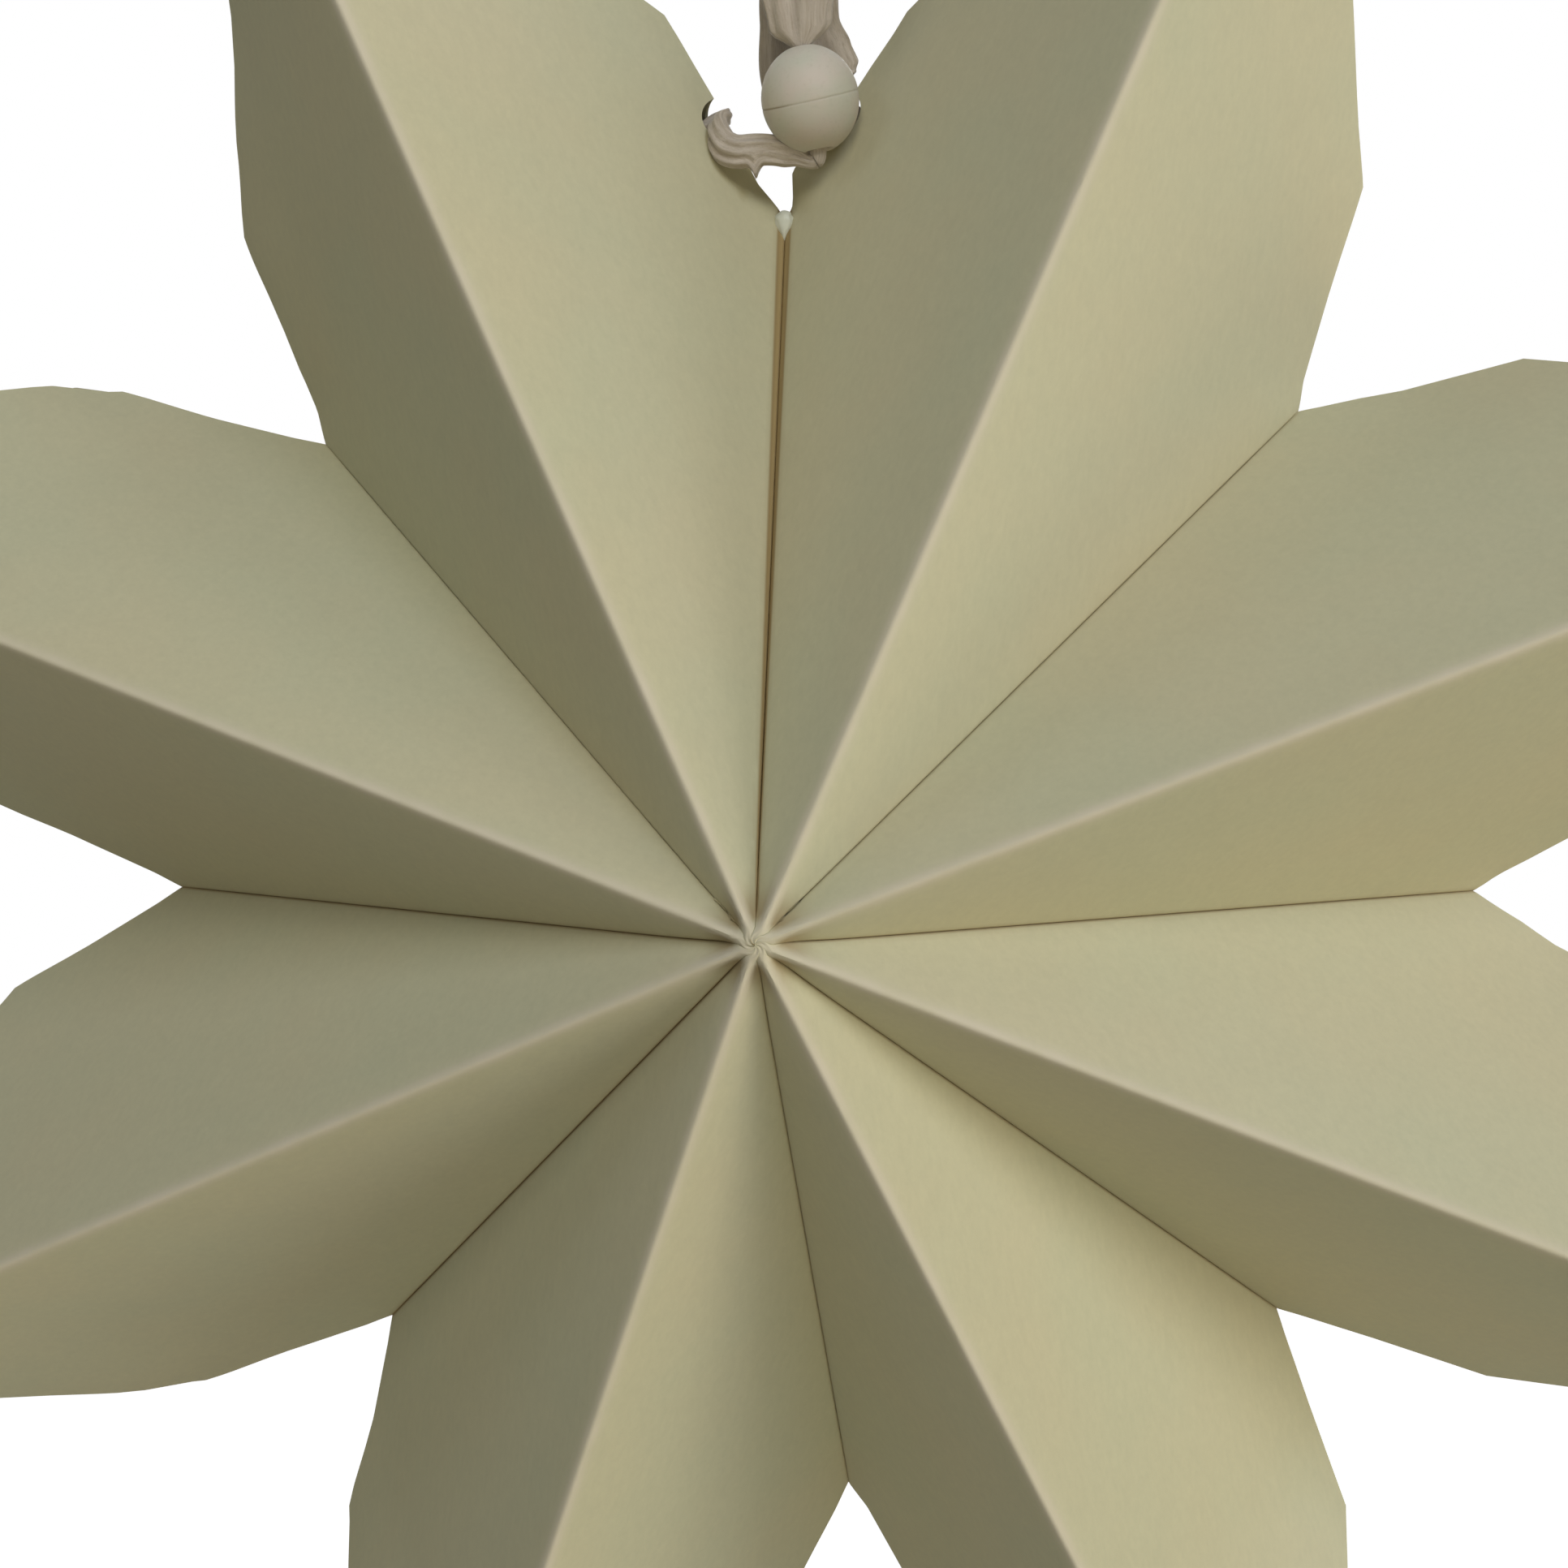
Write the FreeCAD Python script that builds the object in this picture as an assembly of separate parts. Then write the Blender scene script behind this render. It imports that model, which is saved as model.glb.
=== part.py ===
"""Eight-pointed hanging star made of glued paper bags.

Eight flat paper bags are glued to each other along their bottoms and up the
middle of each broad side, then fanned round into a full circle. Each bag opens
into one hollow arm with a fold along its front and a fold along its back, and
its open end is cut to a swallow tail with a point on each fold. The two end
bags are not glued to each other: a ribbon that is knotted inside each of them
holds the star closed and makes its hanging loop, with a bead on its front strand.

The star faces -Y and hangs in the XZ plane, with +Z up. The origin is the top
of the hanging loop's inside, where the hook bears. Lengths are in millimetres.
"""

import FreeCAD
import Part
import math
import os

Vector = FreeCAD.Vector

# Paper bags
bag_width = 82.4  # flat bag, from side fold to side fold
paper = 0.3  # thickness of one layer of the kraft paper
glue_length = 66.5  # bottom of the bag to the end of the glue on its middle line
middle_length = 88.7  # bottom of the bag to its cut edge on the middle line
fold_length = 128.0  # bottom of the bag to its cut edge on the side folds

# Directions of the eight notches, anticlockwise from +X, seen from the front
notch_angles = [91.7, 43.6, -0.8, -42.5, -85.8, -132.0, -177.3, -221.2]
slit_angle = 1.0  # the open slit between the two end bags

# Punched holes and ribbon
hole_radius = 2.25
hole_beyond_notch = 10.5  # notch to the middle of the hole, along the middle line
ribbon_radius = 0.95  # the ribbon, gathered to a strand
knot_radius = 2.8
knot_flat = 0.7  # share of the knot's radius where the strand leaves it
knot_gap = 0.2  # knot to the paper that it bears on

# Bead
bead_radius = 4.75
bead_half_height = 5.2
bore_clearance = 0.15  # strand to the bore's wall
bore_rounding = 0.4
bead_lean = 11.0  # degrees that the bead's top leans to the left
bead_rise = 10.0  # notch to the bead's middle, upwards
bead_forward = 4.5  # how far the bead's middle lies in front of the star's middle
bead_gap = 0.3  # bead to the paper of the right-hand end bag

# Hanging loop
loop_top = 132.9  # star's middle to the strand's line at the top of the loop

star_middle = Vector(0, 0, ribbon_radius - loop_top)


def around(degrees, distance, forward=0.0):
    """The point at that direction and distance from the star's middle."""
    turn = math.radians(degrees)
    across = distance * math.cos(turn)
    up = distance * math.sin(turn)
    return star_middle + Vector(across, -forward, up)


def meeting_point(*planes):
    """The point where three planes meet; each plane is (normal, offset)."""
    (n1, d1), (n2, d2), (n3, d3) = planes
    total = n2.cross(n3) * d1 + n3.cross(n1) * d2 + n1.cross(n2) * d3
    return total * (1.0 / n1.dot(n2.cross(n3)))


def plane_through(inside, a, b, c):
    """The plane through three points, its normal pointing away from inside."""
    normal = (b - a).cross(c - a)
    normal.normalize()
    if normal.dot(inside - a) > 0:
        normal = normal * -1.0
    return normal, normal.dot(a)


def moved_in(plane, depth):
    normal, offset = plane
    return normal, offset - depth


def solid_of(corner_loops):
    """A closed solid from flat faces, each given by its corners in order."""
    faces = []
    for corners in corner_loops:
        faces.append(Part.Face(Part.makePolygon(corners + corners[:1])))
    solid = Part.makeSolid(Part.makeShell(faces))
    if solid.Volume < 0:
        solid.reverse()
    return solid


class Arm:
    """The flat planes and corners of one opened bag.

    The left notch is the one further anticlockwise. Paper cannot stretch, so
    the slope of the ridge follows from the bag's width, the glue length and
    the angle between the arm's two notches.
    """

    def __init__(self, left_angle, right_angle):
        self.middle_angle = (left_angle + right_angle) / 2
        half_angle = math.radians((left_angle - right_angle) / 2)
        half_width = bag_width / 2
        steepness = half_width / glue_length
        reach = math.hypot(math.cos(half_angle), steepness)
        lean = math.atan2(steepness, math.cos(half_angle))
        self.slope = lean - math.acos(1 / reach)

        self.front_hub = around(0, 0, half_width)
        self.back_hub = around(0, 0, -half_width)
        self.left_notch = around(left_angle, glue_length)
        self.right_notch = around(right_angle, glue_length)
        self.tip_reach = fold_length * math.cos(self.slope)
        self.tip_forward = half_width - fold_length * math.sin(self.slope)
        self.front_tip = around(self.middle_angle, self.tip_reach, self.tip_forward)
        self.back_tip = around(self.middle_angle, self.tip_reach, -self.tip_forward)

        inside = around(self.middle_angle, glue_length / 2)
        front, back = self.front_hub, self.back_hub
        left, right = self.left_notch, self.right_notch
        self.left_page = plane_through(inside, front, back, left)
        self.right_page = plane_through(inside, front, back, right)
        self.front_left = plane_through(inside, front, left, self.front_tip)
        self.front_right = plane_through(inside, front, right, self.front_tip)
        self.back_left = plane_through(inside, back, left, self.back_tip)
        self.back_right = plane_through(inside, back, right, self.back_tip)

    def outward(self):
        """Direction of the arm, from the star's middle."""
        return around(self.middle_angle, 1) - star_middle

    def middle_line(self, side):
        """Direction of the bag's middle line past the notch, in the star's middle plane."""
        if side == "left":
            front_plane, back_plane = self.front_left, self.back_left
        else:
            front_plane, back_plane = self.front_right, self.back_right
        direction = front_plane[0].cross(back_plane[0])
        direction.normalize()
        if direction.dot(self.outward()) < 0:
            direction = direction * -1.0
        return direction

    def body(self, depth, end_reach):
        """The closed body inside the planes, moved in by depth, up to end_reach."""
        left_page = moved_in(self.left_page, depth)
        right_page = moved_in(self.right_page, depth)
        front_left = moved_in(self.front_left, depth)
        front_right = moved_in(self.front_right, depth)
        back_left = moved_in(self.back_left, depth)
        back_right = moved_in(self.back_right, depth)
        out = self.outward()
        end = (out, out.dot(around(self.middle_angle, end_reach)))

        front_hub = meeting_point(left_page, right_page, front_left)
        back_hub = meeting_point(left_page, right_page, back_left)
        left_notch = meeting_point(left_page, front_left, back_left)
        right_notch = meeting_point(right_page, front_right, back_right)
        front_end = meeting_point(front_left, front_right, end)
        back_end = meeting_point(back_left, back_right, end)
        left_end = meeting_point(front_left, back_left, end)
        right_end = meeting_point(front_right, back_right, end)
        return solid_of(
            [
                [front_hub, left_notch, back_hub],
                [front_hub, back_hub, right_notch],
                [front_hub, front_end, left_end, left_notch],
                [front_hub, right_notch, right_end, front_end],
                [back_hub, left_notch, left_end, back_end],
                [back_hub, back_end, right_end, right_notch],
                [front_end, right_end, back_end, left_end],
            ]
        )

    def mouth_cut(self, end_reach):
        """The wedge that cuts the open end to a swallow tail."""
        cut_point = self.left_notch + self.middle_line("left") * (middle_length - glue_length)
        cut_reach = (cut_point - star_middle).dot(self.outward())
        spread = self.tip_forward / (self.tip_reach - cut_reach)
        far_forward = spread * (end_reach - cut_reach)
        corners = [
            around(self.middle_angle, cut_reach),
            around(self.middle_angle, end_reach, far_forward),
            around(self.middle_angle, end_reach, -far_forward),
        ]
        across = self.outward().cross(Vector(0, 1, 0))
        corners = [corner - across * bag_width for corner in corners]
        face = Part.Face(Part.makePolygon(corners + corners[:1]))
        return face.extrude(across * (2 * bag_width))

    def bag(self):
        """The paper itself: outer body, less the hollow, less the cut end."""
        spare = 5.0  # past the tips, so that the cuts run right through
        outer_end = self.tip_reach + spare
        past_the_end = outer_end + spare
        paper_body = self.body(0, outer_end).cut(self.body(paper, past_the_end))
        return paper_body.cut(self.mouth_cut(past_the_end))


def punched_hole(arm, side):
    """Middle of the punched hole, and the direction from it into the arm."""
    notch, other_notch = arm.right_notch, arm.left_notch
    if side == "left":
        notch, other_notch = other_notch, notch
    along = arm.middle_line(side)
    into = along.cross(Vector(0, 1, 0))
    if into.dot(other_notch - notch) < 0:
        into = into * -1.0
    return notch + along * hole_beyond_notch, into


def hole_cutter(hole, into):
    reach = 2 * hole_radius
    return Part.makeCylinder(hole_radius, 2 * reach, hole - into * reach, into)


def knot_place(arm, side, hole, into):
    """Middle of the knot that bears on the inside of the paper round the hole."""
    face = arm.front_left if side == "left" else arm.front_right
    slant = abs(face[0].dot(into))
    return hole + into * ((knot_radius + knot_gap + paper) / slant)


def knot(middle, towards):
    """A pulled knot, flat where the strand leaves it, and the middle of that flat."""
    direction = towards - middle
    direction.normalize()
    ball = Part.makeSphere(knot_radius, middle)
    start = middle + direction * (knot_flat * knot_radius)
    trim = Part.makeCylinder(2 * knot_radius, 2 * knot_radius, start, direction)
    return ball.cut(trim), start


def strand(points, radius):
    """A round strand along straight runs joined by tangent arcs.

    Each arc's radius is 0.45 of the shorter run beside it, divided by the
    tangent of half the turn. The radii and the length are printed.
    """
    share = 0.45
    edges = []
    radii = []
    here = points[0]
    for before, corner, after in zip(points, points[1:], points[2:]):
        run_in = corner - before
        run_out = after - corner
        shorter = min(run_in.Length, run_out.Length)
        run_in.normalize()
        run_out.normalize()
        start = corner - run_in * (share * shorter)
        end = corner + run_out * (share * shorter)
        half_turn = run_in.getAngle(run_out) / 2
        arc_radius = share * shorter / math.tan(half_turn)
        middle_way = (run_out - run_in).normalize()
        centre = corner + middle_way * (arc_radius / math.cos(half_turn))
        crown = centre - middle_way * arc_radius
        edges.append(Part.LineSegment(here, start).toShape())
        edges.append(Part.Arc(start, crown, end).toShape())
        radii.append(arc_radius)
        here = end
    edges.append(Part.LineSegment(here, points[-1]).toShape())
    path = Part.Wire(edges)
    first_run = (points[1] - points[0]).normalize()
    ring = Part.Wire([Part.makeCircle(radius, points[0], first_run)])
    tube = path.makePipeShell([ring], True, False)
    print("strand radii:", ", ".join(f"{value:.1f}" for value in radii))
    section = math.pi * radius**2
    print(f"strand length {path.Length:.1f}, volume {tube.Volume:.2f}, ", end="")
    print(f"section times length {section * path.Length:.2f}")
    return tube


def bead(middle, axis):
    """A slightly tall round bead with a rounded bore, as one turned solid."""
    ball = Part.makeSphere(1.0)
    stretch = FreeCAD.Matrix()
    stretch.scale(bead_radius, bead_radius, bead_half_height)
    body = ball.transformGeometry(stretch)
    bore_radius = ribbon_radius + bore_clearance
    bore = Part.makeCylinder(bore_radius, 4 * bead_half_height, Vector(0, 0, -2 * bead_half_height))
    body = body.cut(bore)
    rims = []
    for edge in body.Edges:
        box = edge.BoundBox
        is_rim = abs(box.ZMax - box.ZMin) < 0.01 and abs(box.XMax - bore_radius) < 0.01
        if is_rim:
            rims.append(edge)
    body = body.makeFillet(bore_rounding, rims)
    turn = FreeCAD.Rotation(Vector(0, 0, 1), axis)
    body.Placement = FreeCAD.Placement(middle, turn)
    return body


def bead_place(top_notch, right_arm, axis):
    """Middle of the bead, seated against the front of the right-hand end bag."""
    normal, offset = right_arm.front_left
    along = abs(normal.dot(axis))
    sideways = math.sqrt(max(0.0, 1 - along**2))
    half_depth = math.hypot(bead_half_height * along, bead_radius * sideways)
    middle = top_notch + Vector(0, -bead_forward, bead_rise)
    lacking = offset + half_depth + bead_gap - normal.dot(middle)
    return middle + Vector(1, 0, 0) * (lacking / normal.x)


os.makedirs("parts", exist_ok=True)

# Each arm lies between one notch and the next; the slit takes half from each end bag.
arms = {}
for number in range(8):
    left_angle = notch_angles[number]
    last = number == 7
    right_angle = notch_angles[0] - 360 if last else notch_angles[number + 1]
    if number == 0:
        left_angle -= slit_angle / 2
    if last:
        right_angle += slit_angle / 2
    # Bag 1 is upper left and bag 2 upper right, and the rest follow clockwise.
    name_number = 1 if last else number + 2
    arms[name_number] = Arm(left_angle, right_angle)

left_end_arm = arms[1]
right_end_arm = arms[2]
left_hole, into_left = punched_hole(left_end_arm, "right")
right_hole, into_right = punched_hole(right_end_arm, "left")

pieces = {}
for name_number, arm in sorted(arms.items()):
    paper_bag = arm.bag()
    if name_number == 1:
        paper_bag = paper_bag.cut(hole_cutter(left_hole, into_left))
    if name_number == 2:
        paper_bag = paper_bag.cut(hole_cutter(right_hole, into_right))
    pieces[f"paper_bag_{name_number}"] = paper_bag

# The bead leans to the left and sits in the top notch, against the right-hand end bag.
top_notch = around(notch_angles[0], glue_length)
lean = math.radians(bead_lean)
bead_axis = Vector(-math.sin(lean), 0, math.cos(lean))
bead_middle = bead_place(top_notch, right_end_arm, bead_axis)
bead_across = bead_middle.x - top_notch.x
print(f"bead lies {bead_across:.2f} to the right of the notch")
pieces["bead"] = bead(bead_middle, bead_axis)

# Each knot lies inside its end bag, and its strand leaves through the punched hole.
left_knot_middle = knot_place(left_end_arm, "right", left_hole, into_left)
right_knot_middle = knot_place(right_end_arm, "left", right_hole, into_right)
left_exit = left_hole - into_left * 1.0 + Vector(0, -1.2, -0.6)
right_exit = right_hole - into_right * 0.9 + Vector(0, 1.2, 0.4)
pieces["ribbon_knot_left"], strand_start = knot(left_knot_middle, left_exit)
pieces["ribbon_knot_right"], strand_end = knot(right_knot_middle, right_exit)

# The ribbon's route: front strand up through the bead, round the loop, back strand down.
bore_bottom = bead_middle - bead_axis * (bead_half_height + 0.7)
bore_top = bead_middle + bead_axis * (bead_half_height + 2.4)


def over(across, forward, below_top):
    """A point of the hanging loop, placed from the top of the strand's line."""
    return Vector(across, -forward, ribbon_radius - below_top)


ribbon_route = [
    strand_start,
    left_exit,
    top_notch + Vector(-4.6, -2.8, 6.6),
    top_notch + Vector(-2.4, -3.9, 5.3),
    top_notch + Vector(0.0, -4.5, 4.4),
    top_notch + Vector(2.4, -4.8, 2.9),
    bore_bottom,
    bore_top,
    over(-0.5, 4.9, 33.5),
    over(0.1, 3.3, 23.5),
    over(0.0, 6.6, 14.6),
    over(0.0, 7.2, 6.2),
    over(0.0, 3.5, 0.0),
    over(0.0, -3.5, 0.0),
    over(0.0, -7.1, 6.4),
    over(0.0, -6.3, 14.8),
    over(0.4, -1.5, 24.0),
    over(1.1, 0.9, 34.0),
    top_notch + Vector(3.4, -0.2, 22.5),
    top_notch + Vector(3.9, 1.9, 16.6),
    top_notch + Vector(4.0, 2.6, 12.6),
    right_exit,
    strand_end,
]
pieces["hanging_ribbon"] = strand(ribbon_route, ribbon_radius)

for name, shape in pieces.items():
    box = shape.BoundBox
    size = f"{box.XLength:.1f} x {box.YLength:.1f} x {box.ZLength:.1f}"
    print(f"{name}: valid {shape.isValid()}, solids {len(shape.Solids)}, {size}, volume {shape.Volume:.1f}")
    shape.exportStep(f"parts/{name}.step")
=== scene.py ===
# %% [markdown]
# # A hanging star made of paper bags
#
# Eight flat paper bags are glued side by side and fanned round into a star. A ribbon with a
# bead closes the ring at the top notch and makes the hanging loop. The imported model fixes
# where every piece goes. This lesson gives each piece its real surface: soft folds, pinched
# paper at the middle, a moulded bead and a gathered ribbon.
#
# The script starts by loading that imported model.

# %% Load the fixed frame
import math

import bmesh
import bpy
from mathutils import Matrix, Vector, noise


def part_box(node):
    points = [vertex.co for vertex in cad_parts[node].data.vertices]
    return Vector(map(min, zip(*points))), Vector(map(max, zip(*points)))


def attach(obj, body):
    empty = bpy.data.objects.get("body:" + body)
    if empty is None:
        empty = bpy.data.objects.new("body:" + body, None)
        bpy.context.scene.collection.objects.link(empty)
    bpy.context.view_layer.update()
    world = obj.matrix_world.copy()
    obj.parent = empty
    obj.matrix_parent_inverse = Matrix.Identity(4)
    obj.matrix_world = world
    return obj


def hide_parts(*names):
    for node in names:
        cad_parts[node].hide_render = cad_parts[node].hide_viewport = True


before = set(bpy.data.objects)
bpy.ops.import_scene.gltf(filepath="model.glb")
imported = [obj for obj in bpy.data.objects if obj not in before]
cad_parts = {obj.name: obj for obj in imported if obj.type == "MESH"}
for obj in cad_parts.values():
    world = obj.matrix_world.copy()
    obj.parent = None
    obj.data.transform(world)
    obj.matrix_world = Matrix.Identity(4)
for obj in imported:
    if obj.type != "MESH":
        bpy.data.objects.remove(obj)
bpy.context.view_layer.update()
mm = 0.001
print("nodes in the frame:", ", ".join(sorted(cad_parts)))

# %% [markdown]
# ## Camera
#
# The camera was found from the eight notches, the hub and the ridges of the star: it stands
# a quarter of a metre in front of the star, a little to the right of it and above its middle,
# and looks slightly down. The lens is a short portrait lens on a 36 mm sensor.

# %% Set the camera
camera_place = Vector((0.02576, -0.24633, -0.09134))
camera_direction = Vector((-0.1114, 0.9856, -0.1272))
image_size = 1932
focal_pixels = 3000.0

camera_data = bpy.data.cameras.new("camera")
camera_data.sensor_width = 36.0
camera_data.lens = focal_pixels / image_size * camera_data.sensor_width
camera_data.clip_start = 0.01
camera_data.clip_end = 50.0
camera = bpy.data.objects.new("camera", camera_data)
bpy.context.scene.collection.objects.link(camera)
camera.location = camera_place
camera.rotation_mode = "QUATERNION"
camera.rotation_quaternion = camera_direction.to_track_quat("-Z", "Y")
bpy.context.scene.camera = camera
bpy.context.scene.view_settings.view_transform = "Standard"
print(f"lens {camera_data.lens:.1f} mm")

# %% [markdown]
# ## The sizes of the star
#
# A few measures fix every corner of a bag: its width, how far the glue reaches, how far the
# cut edge lies on the middle line and on the side folds, and the direction of the notches.
# Paper doesn't stretch, so the slope of each ridge follows from them. The lengths are in
# millimetres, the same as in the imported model, and are scaled to metres when a mesh is done.

# %% Measures of a bag, and the directions of the notches
bag_width = 82.4
half_width = bag_width / 2
paper = 0.3
glue_length = 66.5
middle_length = 88.7
fold_length = 128.0
notch_angles = [91.7, 43.6, -0.8, -42.5, -85.8, -132.0, -177.3, -221.2]
glue_extra = [0.0, 0.9, 0.75, 0.0, -0.5, 0.0, 0.0, -0.6]
slit_angle = 1.0
ribbon_radius = 0.95
loop_top = 132.9
star_middle = Vector((0, 0, ribbon_radius - loop_top))
forward = Vector((0, -1, 0))


def around(degrees, distance, ahead=0.0):
    """The point at that direction and distance from the star's middle."""
    turn = math.radians(degrees)
    return star_middle + Vector((distance * math.cos(turn), -ahead, distance * math.sin(turn)))


def page_normal(inside, a, b, c):
    """Normal of the page through three corners, pointing out of the bag."""
    normal = (b - a).cross(c - a).normalized()
    return -normal if normal.dot(inside - a) > 0 else normal


class Arm:
    """Corners of one opened bag. The left notch is the one further anticlockwise."""

    def __init__(self, left_angle, right_angle, left_glue, right_glue):
        self.glue = {"left": left_glue, "right": right_glue}
        self.middle_angle = (left_angle + right_angle) / 2
        self.half_angle = math.radians((left_angle - right_angle) / 2)
        steepness = half_width / glue_length
        reach = math.hypot(math.cos(self.half_angle), steepness)
        lean = math.atan2(steepness, math.cos(self.half_angle))
        self.slope = lean - math.acos(1 / reach)
        self.out = around(self.middle_angle, 1) - star_middle
        self.left = around(self.middle_angle + 90, 1) - star_middle
        tip_reach = fold_length * math.cos(self.slope)
        self.tip_reach = tip_reach
        tip_ahead = half_width - fold_length * math.sin(self.slope)
        self.corner = {
            "front_hub": around(0, 0, half_width),
            "back_hub": around(0, 0, -half_width),
            "left_notch": around(left_angle, left_glue),
            "right_notch": around(right_angle, right_glue),
            "front_tip": around(self.middle_angle, tip_reach, tip_ahead),
            "back_tip": around(self.middle_angle, tip_reach, -tip_ahead),
        }
        self.inside = around(self.middle_angle, glue_length / 2)
        free_length = middle_length - glue_length
        for side in ("left", "right"):
            notch = self.corner[side + "_notch"]
            self.corner[side + "_cut"] = notch + self.middle_line(side) * free_length

    def page(self, face, side):
        """Normal of a free page, such as the front page on the left."""
        hub = self.corner[face + "_hub"]
        notch = self.corner[side + "_notch"]
        return page_normal(self.inside, hub, notch, self.corner[face + "_tip"])

    def middle_line(self, side):
        """Direction of the bag's middle line past the notch."""
        direction = self.page("front", side).cross(self.page("back", side)).normalized()
        return direction if direction.dot(self.out) > 0 else -direction


arms = {}
for number in range(8):
    left_angle = notch_angles[number] - (slit_angle / 2 if number == 0 else 0)
    if number == 7:
        right_angle = notch_angles[0] - 360 + slit_angle / 2
    else:
        right_angle = notch_angles[number + 1]
    left_glue = glue_length + glue_extra[number]
    right_glue = glue_length + glue_extra[(number + 1) % 8]
    arms[1 if number == 7 else number + 2] = Arm(left_angle, right_angle, left_glue, right_glue)
top_notch = around(notch_angles[0], glue_length)
for name, arm in sorted(arms.items()):
    ridge_slope = math.degrees(arm.slope)
    print(f"arm {name}: direction {arm.middle_angle:.1f}, ridge slope {ridge_slope:.1f}")

# %% [markdown]
# ## Where the ribbon runs
#
# The ribbon is knotted inside the upper left arm. Its front strand comes out of the punched
# hole there, passes under the bead and up through it. The loop goes over the top, and the
# back strand comes down behind the bead into the hole of the upper right arm. A NURBS curve
# takes the route's points as its control points, and gives one smooth line without kinks.
# Its order and end point settings are made after the points are added.

# %% The ribbon's line
bead_low, bead_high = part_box("bead")
bead_middle = (bead_low + bead_high) / 2 / mm
bead_lean = math.radians(11.0)
bead_axis = Vector((-math.sin(bead_lean), 0, math.cos(bead_lean)))
bead_half_height = 5.2
bead_radius = 4.75
hole_beyond_notch = 10.5
hole_radius = 2.25
knot_radius = 2.8


def punched_hole(arm, side):
    """Middle of the punched hole, the direction into the arm, and the knot's middle."""
    other = "left" if side == "right" else "right"
    notch = arm.corner[side + "_notch"]
    along = arm.middle_line(side)
    into = along.cross(Vector((0, 1, 0)))
    if into.dot(arm.corner[other + "_notch"] - notch) < 0:
        into = -into
    hole = notch + along * hole_beyond_notch
    slant = abs(arm.page("front", side).dot(into))
    return hole, into, hole + into * ((knot_radius + 0.2 + paper) / slant)


left_hole, into_left, left_knot = punched_hole(arms[1], "right")
right_hole, into_right, right_knot = punched_hole(arms[2], "left")
left_exit = left_hole - into_left * 0.35 + Vector((0, -1.3, -0.5))
right_exit = right_hole - into_right * 0.9 + Vector((0, 1.2, 0.4))
strand_start = left_knot + (left_exit - left_knot).normalized() * (0.7 * knot_radius)
strand_end = right_knot + (right_exit - right_knot).normalized() * (0.7 * knot_radius)


def by_notch(across, ahead, up):
    """A point measured from the top notch."""
    return top_notch + Vector((across, -ahead, up))


def over(across, ahead, below_top):
    """A point of the hanging loop, measured from the top of the strand's line."""
    return Vector((across, -ahead, ribbon_radius - below_top))


ribbon_route = [
    strand_start,
    left_exit,
    by_notch(-6.6, 2.9, 7.6),
    by_notch(-5.2, 4.0, 5.0),
    by_notch(-1.4, 4.6, 5.4),
    by_notch(1.4, 4.5, 4.9),
    by_notch(3.1, 4.4, 4.0),
    bead_middle - bead_axis * (bead_half_height + 0.4),
    bead_middle + bead_axis * (bead_half_height + 2.4),
    over(-0.5, 4.9, 33.5),
    over(0.1, 3.3, 23.5),
    over(0.0, 6.6, 14.6),
    over(0.0, 7.2, 6.2),
    over(0.0, 3.5, 0.0),
    over(0.0, -3.5, 0.0),
    over(0.0, -7.1, 6.4),
    over(0.0, -6.3, 14.8),
    over(0.1, -1.5, 24.0),
    over(-0.2, 0.2, 34.0),
    by_notch(1.2, -0.6, 22.0),
    by_notch(1.3, -2.2, 16.4),
    by_notch(3.2, -2.9, 11.2),
    right_exit,
    strand_end,
]


def smooth_line(name, points):
    """Points in metres along the NURBS curve through that route."""
    line = bpy.data.curves.new(name, "CURVE")
    line.dimensions = "3D"
    line.resolution_u = 24
    spline = line.splines.new("NURBS")
    spline.points.add(len(points) - 1)
    for control, place in zip(spline.points, points):
        control.co = (*(place * mm), 1)
    spline.order_u = 3
    spline.use_endpoint_u = True
    holder = bpy.data.objects.new(name, line)
    bpy.context.scene.collection.objects.link(holder)
    bpy.context.view_layer.update()
    evaluated = holder.evaluated_get(bpy.context.evaluated_depsgraph_get())
    mesh = bpy.data.meshes.new_from_object(evaluated)
    path = [vertex.co.copy() for vertex in mesh.vertices]
    bpy.data.objects.remove(holder)
    bpy.data.meshes.remove(mesh)
    return path


ribbon_path = smooth_line("ribbon_line", ribbon_route)
ribbon_length = sum((b - a).length for a, b in zip(ribbon_path, ribbon_path[1:]))
print(f"ribbon line: {len(ribbon_path)} points, {ribbon_length / mm:.1f} mm")

# %% [markdown]
# ## The ribbon's body
#
# The ribbon is thin satin, gathered lengthwise, so its section is a flattened ring with
# ripples. It is drawn in where it passes the bead's bore and the punched holes, and flares
# where it is free. A circle is extruded from one point of the line to the next, turned and
# stretched each time, and the ripples are pushed into it afterwards.

# %% Sweep a gathered strand along its line
ring_count = 44


def between(value, stops):
    """Value read from (position, value) pairs, with soft steps between them."""
    for (x0, y0), (x1, y1) in zip(stops, stops[1:]):
        if value <= x1:
            share = max(0.0, min(1.0, (value - x0) / (x1 - x0)))
            share = share * share * (3 - 2 * share)
            return y0 + (y1 - y0) * share
    return stops[-1][1]


def distances(path):
    """Distance along the line to each of its points, in millimetres."""
    total = [0.0]
    for a, b in zip(path, path[1:]):
        total.append(total[-1] + (b - a).length / mm)
    return total


def nearest_stop(path, place):
    """Distance along the line to the point nearest to a place."""
    run = distances(path)
    return min((((p / mm) - place).length, s) for p, s in zip(path, run))[1]


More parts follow.
